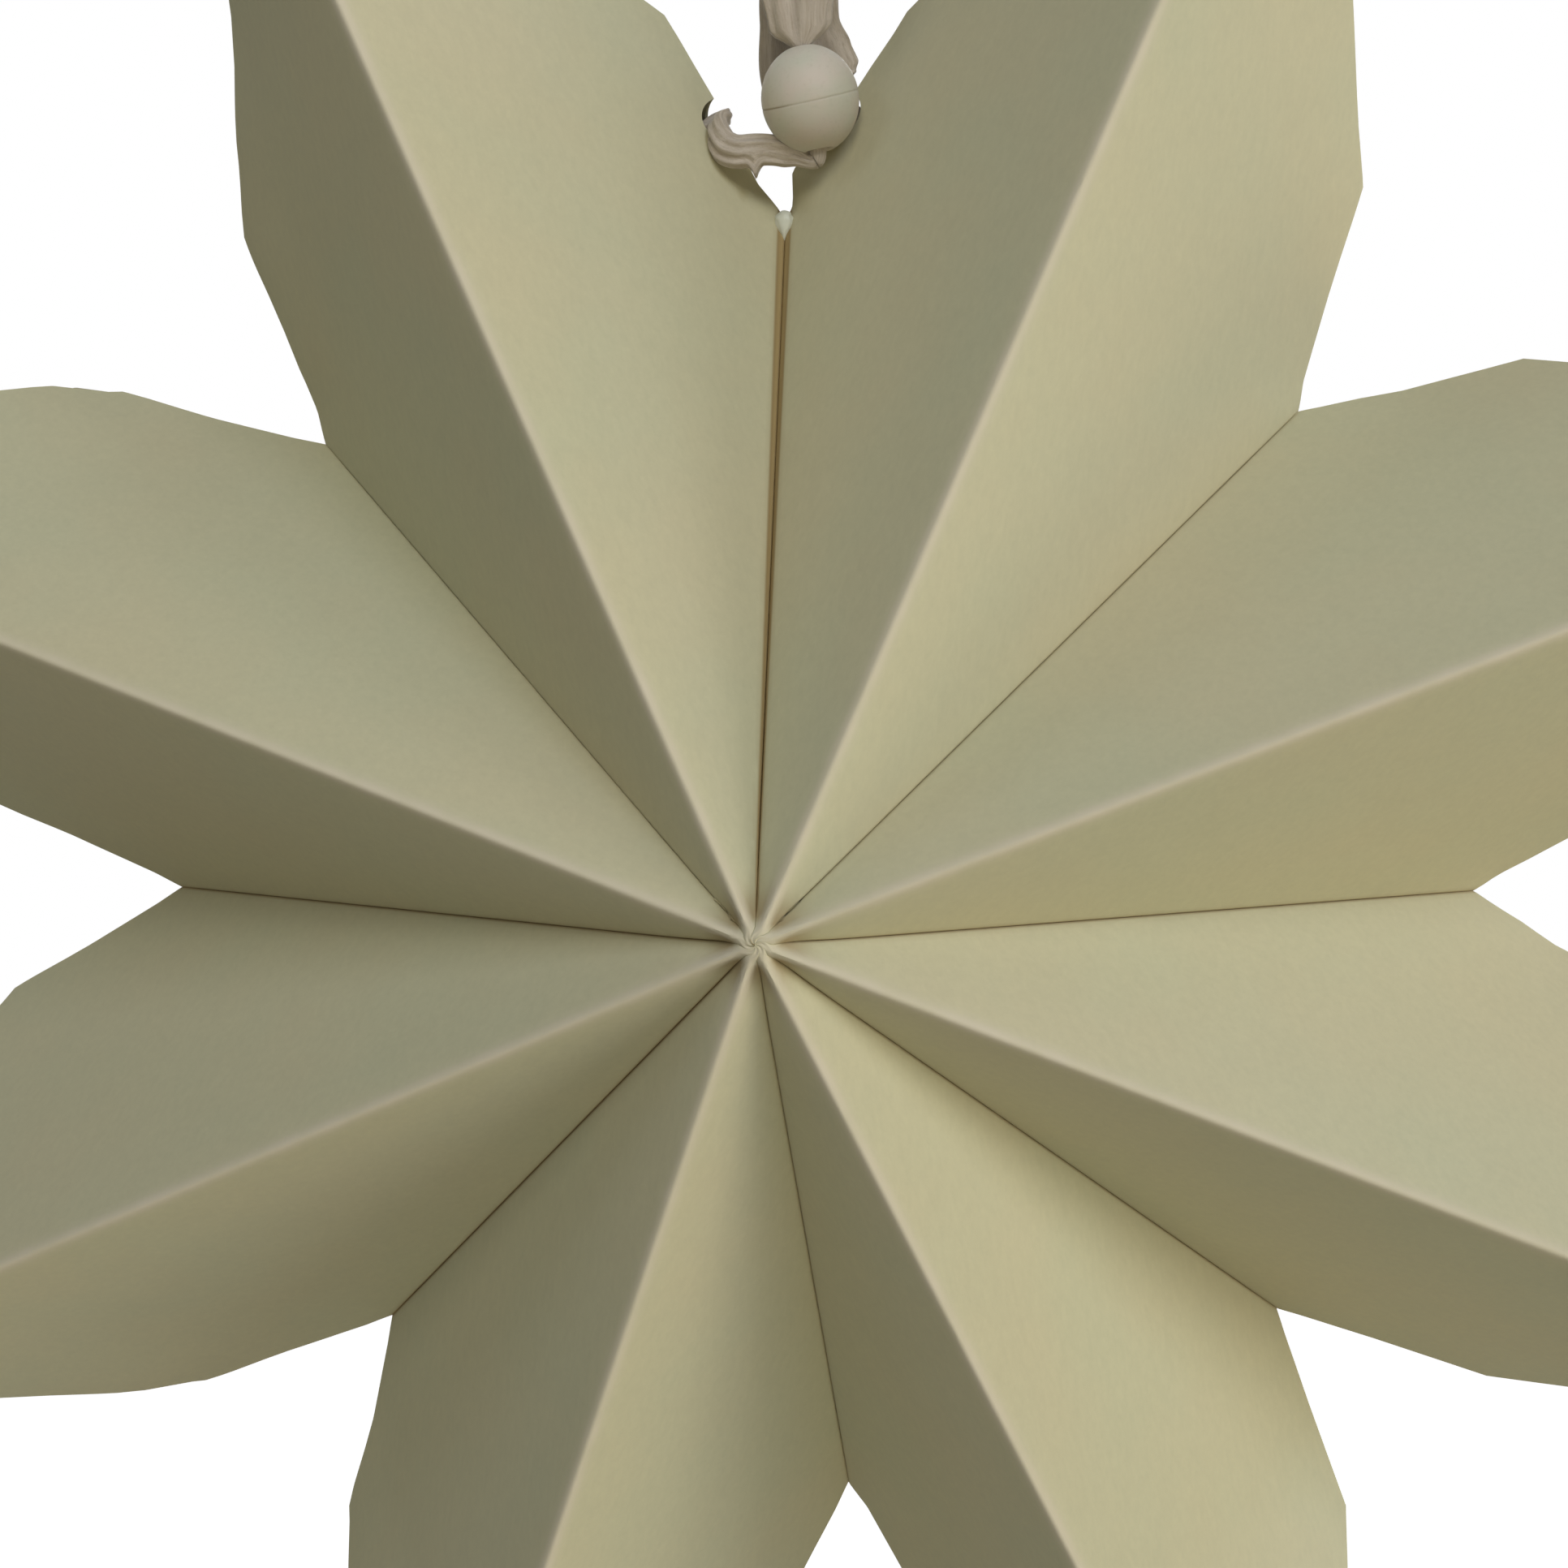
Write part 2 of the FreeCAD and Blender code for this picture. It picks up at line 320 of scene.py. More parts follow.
ribbon_run = distances(ribbon_path)
at_left_hole = nearest_stop(ribbon_path, left_hole)
at_bead_bottom = nearest_stop(ribbon_path, bead_middle - bead_axis * bead_half_height)
at_bead_top = nearest_stop(ribbon_path, bead_middle + bead_axis * bead_half_height)
at_loop_top = nearest_stop(ribbon_path, Vector((0, 0, ribbon_radius)))
at_back_bead = nearest_stop(ribbon_path, by_notch(2.2, -2.6, 14.5))
at_right_hole = nearest_stop(ribbon_path, right_hole)
print(f"holes at {at_left_hole:.1f} and {at_right_hole:.1f} mm")
print(f"bead from {at_bead_bottom:.1f} to {at_bead_top:.1f} mm")

# Half the ribbon's width and half its thickness, along its length.
half_breadth = [
    (0.0, 1.2),
    (at_left_hole, 1.8),
    (at_left_hole + 2.5, 1.4),
    (at_left_hole + 4.5, 1.6),
    (at_bead_bottom - 4.0, 1.45),
    (at_bead_bottom - 1.2, 0.75),
    (at_bead_bottom + 0.5, 0.9),
    (at_bead_top - 0.3, 0.92),
    (at_bead_top + 1.8, 3.0),
    (at_bead_top + 6.0, 3.6),
    (at_loop_top - 22, 2.8),
    (at_loop_top, 2.4),
    (at_loop_top + 22, 2.8),
    (at_back_bead - 9, 3.8),
    (at_back_bead - 4.5, 3.9),
    (at_back_bead - 1.0, 4.6),
    (at_back_bead + 1.5, 4.8),
    (at_back_bead + 3.0, 4.2),
    (at_right_hole - 0.9, 2.0),
    (at_right_hole, 1.3),
    (ribbon_run[-1], 1.2),
]
half_depth = [
    (0.0, 0.9),
    (at_left_hole, 0.8),
    (at_left_hole + 5.0, 0.95),
    (at_bead_bottom - 1.2, 0.7),
    (at_bead_bottom + 0.5, 0.9),
    (at_bead_top - 0.2, 0.92),
    (at_bead_top + 3.0, 1.0),
    (at_loop_top, 0.85),
    (at_back_bead - 8, 0.9),
    (at_back_bead, 0.75),
    (at_right_hole, 0.95),
    (ribbon_run[-1], 0.9),
]

# How far the ribbon's width stands upright.
width_upright = [
    (at_left_hole, 0.55),
    (at_left_hole + 3, 0.95),
    (at_bead_bottom - 1.6, 0.95),
    (at_bead_bottom, 0.0),
]


def sections(path, breadth_way):
    """A matrix for each point of the line: its Z runs along the line, its X across the width."""
    frames = []
    for index, place in enumerate(path):
        before = path[max(0, index - 1)]
        after = path[min(len(path) - 1, index + 1)]
        along = (after - before).normalized()
        wide = breadth_way(index)
        wide = (wide - along * wide.dot(along)).normalized()
        deep = along.cross(wide)
        turn = Matrix((wide, deep, along)).transposed().to_4x4()
        frames.append(Matrix.Translation(place / mm) @ turn)
    return frames


def ribbon_width_way(index):
    """The ribbon's width lies across the view, upwards on the short run to the bead, and
    square to the strand where it turns behind the bead."""
    run = ribbon_run[index]
    if run > at_loop_top + 30:
        last = min(len(ribbon_path) - 1, index + 1)
        return forward.cross(ribbon_path[last] - ribbon_path[index - 1])
    upright = between(run, width_upright)
    return Vector((1 - upright, 0, upright))


def sweep(frames, breadths, depths, count):
    """Extrude a ring along the frames, and close both ends."""
    tube = bmesh.new()
    along_layer = tube.verts.layers.float.new("along")
    round_layer = tube.verts.layers.float.new("round")
    first = bmesh.ops.create_circle(tube, segments=count, radius=1.0, cap_ends=False)["verts"]
    for vertex in first:
        vertex[round_layer] = math.atan2(vertex.co.y, vertex.co.x)
    ring = sorted(first, key=lambda vertex: vertex[round_layer])
    ring_edges = tube.edges[:]
    for index, place in enumerate(frames):
        if index > 0:
            grown = bmesh.ops.extrude_edge_only(tube, edges=ring_edges)["geom"]
            edges = [item for item in grown if isinstance(item, bmesh.types.BMEdge)]
            ring_edges = [edge for edge in edges if edge.is_boundary]
            fresh = [item for item in grown if isinstance(item, bmesh.types.BMVert)]
            ring = sorted(fresh, key=lambda vertex: vertex[round_layer])
        for vertex in ring:
            turn = vertex[round_layer]
            local = Vector((math.cos(turn) * breadths[index], math.sin(turn) * depths[index], 0))
            vertex.co = place @ local
            vertex[along_layer] = index
    bmesh.ops.holes_fill(tube, edges=[edge for edge in tube.edges if edge.is_boundary], sides=0)
    bmesh.ops.recalc_face_normals(tube, faces=tube.faces)
    return tube


def to_object(mesh_tool, name, scale=mm):
    """Scale the bmesh to metres, and turn it into an object with smooth faces."""
    bmesh.ops.scale(mesh_tool, vec=(scale,) * 3, verts=mesh_tool.verts)
    for face in mesh_tool.faces:
        face.smooth = True
    mesh = bpy.data.meshes.new(name)
    mesh_tool.to_mesh(mesh)
    mesh_tool.free()
    piece = bpy.data.objects.new(name, mesh)
    bpy.context.scene.collection.objects.link(piece)
    return piece


ribbon_frames = sections(ribbon_path, ribbon_width_way)
ribbon_breadths = [between(run, half_breadth) for run in ribbon_run]
ribbon_depths = [between(run, half_depth) for run in ribbon_run]
ribbon_mesh = sweep(ribbon_frames, ribbon_breadths, ribbon_depths, ring_count)

# %% [markdown]
# The gathers are ripples that run along the strand. They wander a little from side to side,
# so that no fold is straight, and they fade inside the bead's bore, where there is no room.
# Behind the bead the left edge hangs lower than the right one, and a small fold has come
# loose from the front strand.

# %% Push the gathers into the ribbon
along_layer = ribbon_mesh.verts.layers.float["along"]
round_layer = ribbon_mesh.verts.layers.float["round"]
fold_height = [
    (at_left_hole, 0.1),
    (at_left_hole + 3.0, 0.2),
    (at_bead_bottom - 2.0, 0.17),
    (at_bead_bottom, 0.02),
    (at_bead_top, 0.02),
    (at_bead_top + 2.0, 0.36),
    (at_bead_top + 20.0, 0.3),
    (at_back_bead - 3.0, 0.3),
    (at_right_hole, 0.12),
]
left_edge_drop = [(at_back_bead - 4.0, 0.0), (at_back_bead + 2.0, 2.5)]
loose_fold_drop = 1.2
loose_fold = nearest_stop(ribbon_path, by_notch(-2.4, 4.5, 5.3))
for vertex in ribbon_mesh.verts:
    index = int(round(vertex[along_layer]))
    run = ribbon_run[index]
    turn = vertex[round_layer]
    wander = 0.5 * noise.noise(Vector((run * 0.09, math.cos(turn) * 0.6, math.sin(turn) * 0.6)))
    ripple = math.sin(9 * (turn + wander)) + 0.6 * math.sin(5 * (turn - wander) + run * 0.05)
    height = between(run, fold_height) * ribbon_depths[index]
    centre = ribbon_frames[index].translation
    outward = (vertex.co - centre).normalized()
    crease = ribbon_frames[index].to_3x3() @ Vector((0, math.sin(turn), 0))
    vertex.co += (outward * 0.4 + crease * 0.6) * ripple * height
    across = (vertex.co - centre).x
    below = centre.z - vertex.co.z
    if run > left_edge_drop[0][0]:
        to_left = min(1.0, max(0.0, (-across - 0.4) / 3.2))
        vertex.co.z -= to_left * between(run, left_edge_drop)
    elif abs(run - loose_fold) < 1.0 and below > 0:
        near_fold = (1 - abs(run - loose_fold)) ** 2
        vertex.co.z -= loose_fold_drop * near_fold * min(1.0, below / 1.2)
ribbon = to_object(ribbon_mesh, "gathered_ribbon")
print("ribbon faces:", len(ribbon.data.polygons))

# %% [markdown]
# ## The knots
#
# Inside each end bag the ribbon is tied in a knot that can't slip through the hole. A real
# knot is a bight wrapped round the strand, so each is a short closed line that crosses
# itself, with a strand swept along it, and a tail that ends cut.

# %% Tie the two knots


def tie_knot(name, middle, towards):
    """A pulled overhand knot of that size, and its short tail, as one mesh."""
    axis = (towards - middle).normalized()
    side = axis.cross(Vector((0, 1, 0))).normalized()
    third = axis.cross(side)
    count = 96
    size = 1.25
    path = []
    for step in range(count + 1):
        turn = 2 * math.pi * step / count
        x = math.sin(turn) + 1.35 * math.sin(2 * turn)
        y = math.cos(turn) - 1.35 * math.cos(2 * turn)
        z = -0.8 * math.sin(3 * turn)
        path.append((middle + (side * x + third * y) * size * 0.42 + axis * z * size * 0.6) * mm)
    frames = sections(path, lambda index: axis)
    wraps = sweep(frames, [0.95] * len(path), [0.8] * len(path), 20)
    tail_bend = middle - axis * 1.6 + side * 0.8
    tail_end = middle - axis * 2.4 + side * 2.6 + third * 1.0
    tail_path = smooth_line(name + "_tail", [middle, tail_bend, tail_end])
    tail_frames = sections(tail_path, lambda index: third)
    shares = [index / (len(tail_path) - 1) for index in range(len(tail_path))]
    tail_breadths = [0.7 + 0.5 * share for share in shares]
    tail_depths = [0.6 - 0.25 * share for share in shares]
    tail = sweep(tail_frames, tail_breadths, tail_depths, 20)
    tail_mesh = bpy.data.meshes.new(name + "_tail")
    tail.to_mesh(tail_mesh)
    tail.free()
    wraps.from_mesh(tail_mesh)
    bpy.data.meshes.remove(tail_mesh)
    for vertex in wraps.verts:
        wobble = noise.noise(vertex.co * 1.6)
        vertex.co += (vertex.co - middle).normalized() * 0.12 * wobble
    return to_object(wraps, name)


knot_left = tie_knot("knot_in_left_bag", left_knot, left_exit)
knot_right = tie_knot("knot_in_right_bag", right_knot, right_exit)
print("knots:", knot_left.name, knot_right.name)

# %% [markdown]
# ## The bead
#
# The bead is moulded from two halves: a slightly tall ball with a bore through it, and a
# hairline seam round its middle. A profile is spun round the bore's axis, and five cuts along
# the seam leave narrow loops that are pushed in.

# %% Spin the bead
bore_radius = ribbon_radius + 0.15
bore_rounding = 0.4


def spin_bead():
    """The bead in its own frame, with its bore along Z."""
    bead_mesh = bmesh.new()
    profile = []
    rim = math.asin((bore_radius + bore_rounding) / bead_radius)
    steps = 48
    for step in range(steps + 1):
        turn = rim + (math.pi - 2 * rim) * step / steps
        profile.append((bead_radius * math.sin(turn), bead_half_height * math.cos(turn)))
    top = profile[0][1] - 0.12
    bore = [
        (bore_radius, 0.0),
        (bore_radius, top - 0.5),
        (bore_radius + 0.05, top - 0.12),
        (bore_radius + 0.18, top + 0.05),
    ]
    profile = bore + profile + [(x, -z) for x, z in reversed(bore)]
    spots = [bead_mesh.verts.new((x, 0, z)) for x, z in profile]
    edges = [bead_mesh.edges.new(pair) for pair in zip(spots, spots[1:])]
    bmesh.ops.spin(
        bead_mesh,
        geom=spots + edges,
        cent=(0, 0, 0),
        axis=(0, 0, 1),
        angle=2 * math.pi,
        steps=96,
        use_merge=True,
    )
    bmesh.ops.remove_doubles(bead_mesh, verts=bead_mesh.verts, dist=0.001)
    return bead_mesh


bead_mesh = spin_bead()
seam_tilt = Matrix.Rotation(math.radians(11.0), 3, "X")
seam_normal = seam_tilt @ Vector((0, 0, 1))
seam_width = 0.12
seam_depth = 0.045
for offset in (-0.16, -0.08, 0.0, 0.08, 0.16):
    bmesh.ops.bisect_plane(
        bead_mesh,
        geom=bead_mesh.verts[:] + bead_mesh.edges[:] + bead_mesh.faces[:],
        dist=0.001,
        plane_co=seam_normal * offset,
        plane_no=seam_normal,
    )
seam_layer = bead_mesh.verts.layers.float.new("seam")
for vertex in bead_mesh.verts:
    distance = abs(vertex.co.dot(seam_normal))
    outside = math.hypot(vertex.co.x, vertex.co.y) > 3
    if outside and distance < seam_width:
        share = 1 - distance / seam_width
        vertex.co -= Vector((vertex.co.x, vertex.co.y, 0)).normalized() * seam_depth * share
        vertex[seam_layer] = share
bmesh.ops.recalc_face_normals(bead_mesh, faces=bead_mesh.faces)
turn_to_axis = Vector((0, 0, 1)).rotation_difference(bead_axis).to_matrix().to_4x4()
seat = Matrix.Translation(bead_middle) @ turn_to_axis
bmesh.ops.transform(bead_mesh, matrix=seat, verts=bead_mesh.verts)
bead = to_object(bead_mesh, "moulded_bead")
print("bead faces:", len(bead.data.polygons))

# %% [markdown]
# ## The bags
#
# Each bag starts as its flat pages: six faces between eight corners. Cutting planes then
# divide them into fine strips: along the ridge for its rounded fold, beside the glued wall
# for the groove, across the arm, and closely round the hub. The folds are not separate
# pieces, because on the real bag they are one sheet of paper that bends.

# %% Cut one bag's flat pages into strips
page_corners = [
    ("front_hub", "front_tip", "left_cut", "left_notch"),
    ("front_hub", "right_notch", "right_cut", "front_tip"),
    ("back_hub", "left_notch", "left_cut", "back_tip"),
    ("back_hub", "back_tip", "right_cut", "right_notch"),
    ("front_hub", "left_notch", "back_hub"),
    ("front_hub", "back_hub", "right_notch"),
]
ridge_strips = [0.0, 0.22, 0.45, 0.75, 1.2, 1.9, 3.0]
wall_strips = [0.07, 0.2, 0.6, 1.6, 3.2, 6.0, 10.0, 15.0, 21.0]
cross_steps = [0.2, 0.4, 0.6, 0.85, 1.1, 1.4, 1.7, 2.1, 2.6, 3.5, 4.6, 6.0, 7.8, 10.0, 13.0, 16.5]
cross_steps += [20.5 + 4.0 * step for step in range(27)]
depth_steps = [-30, -22, -15, -9, -4, 0, 4, 9, 15, 22, 30]
slit_depths = [0.25, 0.6, 0.9, 1.4]
slit_ends = [0.25, 0.6, 1.0, 1.5, 2.2, 3.0]


def cut(shell, place, normal):
    """Divide every face that the plane crosses."""
    everything = shell.verts[:] + shell.edges[:] + shell.faces[:]
    bmesh.ops.bisect_plane(shell, geom=everything, dist=0.0005, plane_co=place, plane_no=normal)


def bag_shell(arm, slit_side=None):
    """The bag's pages, cut into strips, with faces pointing out."""
    shell = bmesh.new()
    spots = {name: shell.verts.new(place) for name, place in arm.corner.items()}
    for names in page_corners:
        shell.faces.new([spots[name] for name in names])
    for offset in ridge_strips:
        for side in (1, -1) if offset else (1,):
            cut(shell, star_middle + arm.left * offset * side, arm.left)
    for side, sign in (("left", 1), ("right", -1)):
        along = (arm.corner[side + "_notch"] - star_middle).normalized()
        wall_normal = along.cross(forward).normalized()
        if wall_normal.dot(arm.left) * sign < 0:
            wall_normal = -wall_normal
        for offset in wall_strips:
            cut(shell, star_middle - wall_normal * offset, wall_normal)
    for distance in cross_steps:
        if distance < arm.tip_reach:
            cut(shell, star_middle + arm.out * distance, arm.out)
    for depth in depth_steps:
        cut(shell, star_middle + forward * depth, forward)
    if slit_side:
        notch = arm.corner[slit_side + "_notch"]
        along = (notch - star_middle).normalized()
        for hub in (arm.corner["front_hub"], arm.corner["back_hub"]):
            crease = (notch - hub).normalized()
            inward = crease.cross(along.cross(forward)).normalized()
            if inward.dot(star_middle - hub) < 0:
                inward = -inward
            for depth in slit_depths:
                cut(shell, hub + inward * depth, inward)
        for end in slit_ends:
            cut(shell, notch - along * end, along)
    bmesh.ops.remove_doubles(shell, verts=shell.verts, dist=0.002)
    bmesh.ops.recalc_face_normals(shell, faces=shell.faces)
    probe = max(shell.faces, key=lambda face: face.calc_area())
    if probe.normal.dot(probe.calc_center_median() - arm.inside) < 0:
        bmesh.ops.reverse_faces(shell, faces=shell.faces)
    return shell


trial = bag_shell(arms[1])
print("one bag, cut into strips:", len(trial.faces), "faces")
trial.free()

# %% [markdown]
# ## Bend the paper
#
# Now each point is moved a little. The ridge gets a rounded fold. The line where two glued
# bags part sinks into a groove. At the hub the eight folds are pinched into narrow ribs that
# twist together. The pages bow by a fraction of a millimetre, as paper does, and the cut
# edge wavers as scissors leave it. Two numbers are kept at each point for the material: how
# far the fold is rubbed paler, which also paints its highlight, and how much painted shade
# the clefts give it.

# %% Bend one bag
fold_round = 0.42
groove_depth = 0.18
slit_floor = 0.5
page_bow = 0.28
edge_waver = 0.22
hub_sink = 0.9
hub_twist = math.radians(55)
hub_reach = 1.5
knot_reach = 2.2
knot_fill = 0.75
# How much painted shade each valley line gets.
valley_shade = [1.0, 0.35, 0.7, 0.6, 0.4, 0.9, 0.8, 0.15]

# How far the real outline stands out from the flat page, in millimetres: near the notch, at
# the middle of the side, at its corner, and at two places along the cut edge.
stand_out = {
    (1, "left"): (-0.3, 0.2, 0.95, 0.6, -0.5),
    (1, "right"): (-0.4, 0.35, 0.6, 0.3, 0.0),
    (2, "left"): (1.7, 0.3, -0.4, 0.0, 0.0),
    (2, "right"): (-0.35, -0.35, -0.1, -0.3, -0.4),
    (3, "left"): (-0.2, -0.75, -0.85, -0.8, -0.4),
    (3, "right"): (-0.4, -0.7, -0.7, 0.0, 0.0),
    (4, "left"): (-0.4, -1.2, -1.1, 0.0, 0.0),
    (4, "right"): (-0.1, -0.2, -0.2, -0.2, 0.0),
    (5, "left"): (-0.1, -0.2, -0.2, 0.05, 0.0),
    (5, "right"): (-0.3, 0.0, 0.0, 0.0, 0.0),
    (6, "left"): (0.1, 0.0, 0.0, 0.0, 0.0),
    (6, "right"): (-0.1, -0.15, 0.6, 1.1, 0.8),
    (7, "left"): (0.2, 0.4, 0.9, 1.65, 1.2),
    (7, "right"): (-0.1, -0.05, 0.3, 0.3, 0.0),
    (8, "left"): (-0.1, 0.1, 0.65, 0.7, 0.6),
    (8, "right"): (-0.15, -0.2, 0.2, 1.7, 1.7),
}


def soft(value):
    """A soft step from 0 to 1."""
    value = max(0.0, min(1.0, value))
    return value * value * (3 - 2 * value)


def outline_shift(arm, number, side, place):
    """How a point near the bag's outline moves, in the plane of the star."""
    notch = arm.corner[side + "_notch"]
    corner = arm.corner[side + "_cut"]
    face = "front" if place.y <= 0 else "back"
    tip = arm.corner[face + "_tip"]
    side_length = (corner - notch).length
    cut_length = (tip - corner).length
    middle = (corner - notch) / side_length
    cut_way = (tip - corner) / cut_length
    on_side = max(0.0, min(side_length, (place - notch).dot(middle)))
    on_cut = max(0.0, min(cut_length, (place - corner).dot(cut_way)))
    from_side = (place - notch - middle * on_side).length
    from_cut = (place - corner - cut_way * on_cut).length
    near_side = from_side < from_cut
    run = on_side if near_side else side_length + on_cut
    away = min(from_side, from_cut)
    values = stand_out[(number, side)]
    far = side_length + 0.15 * cut_length
    stops = [
        (0.0, 0.0),
        (3.5, values[0]),
        (11.0, values[1]),
        (side_length, values[2]),
        (far, values[3]),
        (side_length + 0.4 * cut_length, values[4]),
        (side_length + 0.75 * cut_length, 0.0),
    ]
    fade = 5.0 if (number, side) in ((1, "right"), (2, "left")) else 12.0
    across_side = Vector((middle.z, 0, -middle.x))
    if across_side.dot(corner - arm.corner[("right" if side == "left" else "left") + "_cut"]) < 0:
        across_side = -across_side
    across_cut = Vector((cut_way.z, 0, -cut_way.x)).normalized()
    if across_cut.dot(arm.out) < 0:
        across_cut = -across_cut
    turn = soft((run - side_length + 3) / 6)
    direction = (across_side * (1 - turn) + across_cut * turn).normalized()
    return direction * between(run, stops) * (1 - soft(away / fade))


def bend(shell, arm, seed, slit_side):
    """Move the points of one bag, and note the folds' wear with their painted highlight, and the
    painted shade of the clefts.
    """
    wear_and_highlight_layer = shell.verts.layers.float.new("wear_and_highlight")
    cleft_shade_layer = shell.verts.layers.float.new("cleft_shade")
    firm_layer = shell.verts.layers.float.new("firm")
    slit_layer = shell.verts.layers.float.new("slit")
    walls = {}
    for side, sign in (("left", 1), ("right", -1)):
        along = (arm.corner[side + "_notch"] - star_middle).normalized()
        normal = along.cross(forward).normalized()
        if normal.dot(arm.left) * sign < 0:
            normal = -normal
        walls[side] = (along, normal)
    page_slope = {}
    for side, sign in (("left", 1), ("right", -1)):
        normal = arm.page("front", side)
        page_slope[side] = abs(normal.dot(arm.left)) / abs(normal.dot(forward))
    for vertex in shell.verts:
        offset = vertex.co - star_middle
        reach = offset.dot(arm.out)
        across = offset.dot(arm.left)
        ahead = offset.dot(forward)
        face = 1 if ahead >= 0 else -1
        side = "left" if across >= 0 else "right"
        along, normal = walls[side]
        from_wall = -offset.dot(normal)
        along_wall = offset.dot(along)
        glue = arm.glue[side]
        crease_ahead = half_width * (1 - along_wall / glue)
        on_wall = from_wall < 0.004 and along_wall < glue + 0.01
        on_crease = on_wall and abs(abs(ahead) - crease_ahead) < 0.03
        inside_wall = on_wall and not on_crease
        move = Vector((0, 0, 0))

        # The rounded ridge fold.
        if not inside_wall:
            slope = page_slope[side]
            rounding = fold_round * min(1.0, 0.45 + reach / 12)
            drop = slope * (math.hypot(across, rounding) - abs(across))
            move -= forward * face * drop * 0.9

        # Between the ribs the pages sink near the hub.
        hub_share = 1 - soft(reach / 7.5)
        if not inside_wall and reach < 7.5:
            rib = soft((abs(across) - 0.2) / 0.5) * soft((reach - 1.2) / 2.4)
            move -= forward * face * hub_sink * hub_share * rib

        # At the very centre the paper is pressed into a knot, and the valleys are filled.
        away = math.hypot(offset.x, offset.z)
        if away < knot_reach:
            filled = 1 - soft((away - 0.5) / 1.7)
            move += forward * face * knot_fill * filled * (half_width - 0.15 - abs(ahead))

        # A long shallow bow on each page, and a slow waver of the paper.
        if not on_wall:
            free = min(1.0, from_wall / 9.0) if along_wall < glue else 1.0
            near_ridge = min(1.0, abs(across) / 7.0)
            waver = noise.noise(Vector((reach * 0.028, across * 0.045, seed * 7.3 + face)))
            bow = page_bow * waver * soft(free) * soft(near_ridge) * soft(reach / 30)
            move += forward * face * bow
            if along_wall > glue - 12:
                move += outline_shift(arm, seed, side, vertex.co)

        # The groove where two glued bags part.
        if on_crease and slit_side != side:
            fade = soft((glue - along_wall) / 4.0) * soft((along_wall - 1.0) / 2.5)
            move -= forward * face * min(groove_depth, 0.9 * crease_ahead) * fade

        # The end bags lean together in the depth of the slit.
        if slit_side == side and on_wall:
            depth = crease_ahead - abs(ahead)
            gap = along_wall * math.radians(slit_angle / 2) * soft((along_wall - 1.0) / 2.5)
            move += normal * (gap - 0.01) * soft(depth / slit_floor)

        # The cut edge wavers.
        if vertex.is_boundary:
            spot = Vector((across * 0.16, ahead * 0.16, seed * 3.1))
            move += arm.out * edge_waver * noise.noise(spot)

        vertex.co += move

        # The folds twist together at the hub.
        if away < hub_reach * 2:
            twist = -hub_twist * (1 - soft(away / hub_reach)) * face
            spot = vertex.co - star_middle
            turned = Matrix.Rotation(twist, 3, "Y") @ Vector((spot.x, 0, spot.z))
            vertex.co = star_middle + Vector((turned.x, spot.y, turned.z))

        # What the material needs to know: wear with a painted highlight on the fold, painted
        # shade in the clefts, and painted shade and glow on the slit walls.
        fold = 1 - soft((abs(across) - 0.25) / 0.75)
        vertex[wear_and_highlight_layer] = 0.0 if on_wall else fold
        # Painted shade along the valley lines, weighted for each valley, and in the clefts round
        # the hub.
        deep = 0.0
        if along_wall < glue + 0.5:
            darkening = valley_shade[(seed - (2 if side == "left" else 1)) % 8]
            deep = darkening * (1 - soft(from_wall / 0.28))
        near_hub = (1 - soft((away - 1.8) / 4.0)) * soft((away - 1.5) / 0.9)
        near_hub *= soft((abs(across) - 0.25) / 0.5)
        vertex[cleft_shade_layer] = min(1.0, max(deep * soft((away - 1.5) / 1.0), 0.8 * near_hub))
        # The slit walls get a painted shade and the light shining through the paper.
        vertex[slit_layer] = 1.0 if slit_side == side and on_wall and not on_crease else 0.0
        vertex[firm_layer] = min(1.0, max(0.02, (away - 0.6) / 5.0))


def shaped_bag(number):
    """One bag's paper, bent, as an object of a single sheet."""
    arm = arms[number]
    slit_side = {1: "right", 2: "left"}.get(number)
    shell = bag_shell(arm, slit_side)
    bend(shell, arm, number, slit_side)
    firm_layer = shell.verts.layers.float["firm"]
    firm = [vertex[firm_layer] for vertex in shell.verts]
    piece = to_object(shell, f"folded_bag_{number}")
    group = piece.vertex_groups.new(name="firm")
    for index, weight in enumerate(firm):
        group.add([index], weight, "REPLACE")
    thicken = piece.modifiers.new("paper", "SOLIDIFY")
    thicken.thickness = paper * mm
    thicken.offset = -1.0
    thicken.use_even_offset = False
    thicken.vertex_group = "firm"
    thicken.thickness_vertex_group = 0.05
    return piece


bags = {number: shaped_bag(number) for number in sorted(arms)}
print("bags:", ", ".join(bags[number].name for number in bags))

# %% [markdown]
# ## Punch the holes, and settle the modifiers
#
# The two end bags have a punched hole on their middle line. The hole goes through the solid
# paper, so the Solidify modifier is settled first and the Boolean cut follows. Corners that
# turn sharply, such as the paper's cut rim, then get sharp edges, while the folds stay soft.

# %% Settle each bag into a plain mesh


def settle(piece):
    """Replace the piece's mesh by what its modifiers make."""
    bpy.context.view_layer.update()
    evaluated = piece.evaluated_get(bpy.context.evaluated_depsgraph_get())
    settled = bpy.data.meshes.new_from_object(evaluated)
    piece.modifiers.clear()
    piece.data = settled


def sharpen(piece, degrees):
    """Mark edges sharp where the faces turn by more than that."""
    work = bmesh.new()
    work.from_mesh(piece.data)
    limit = math.radians(degrees)
    for edge in work.edges:
        if len(edge.link_faces) == 2:
            edge.smooth = edge.calc_face_angle(0) < limit
    for face in work.faces:
        face.smooth = True
    work.to_mesh(piece.data)
    work.free()


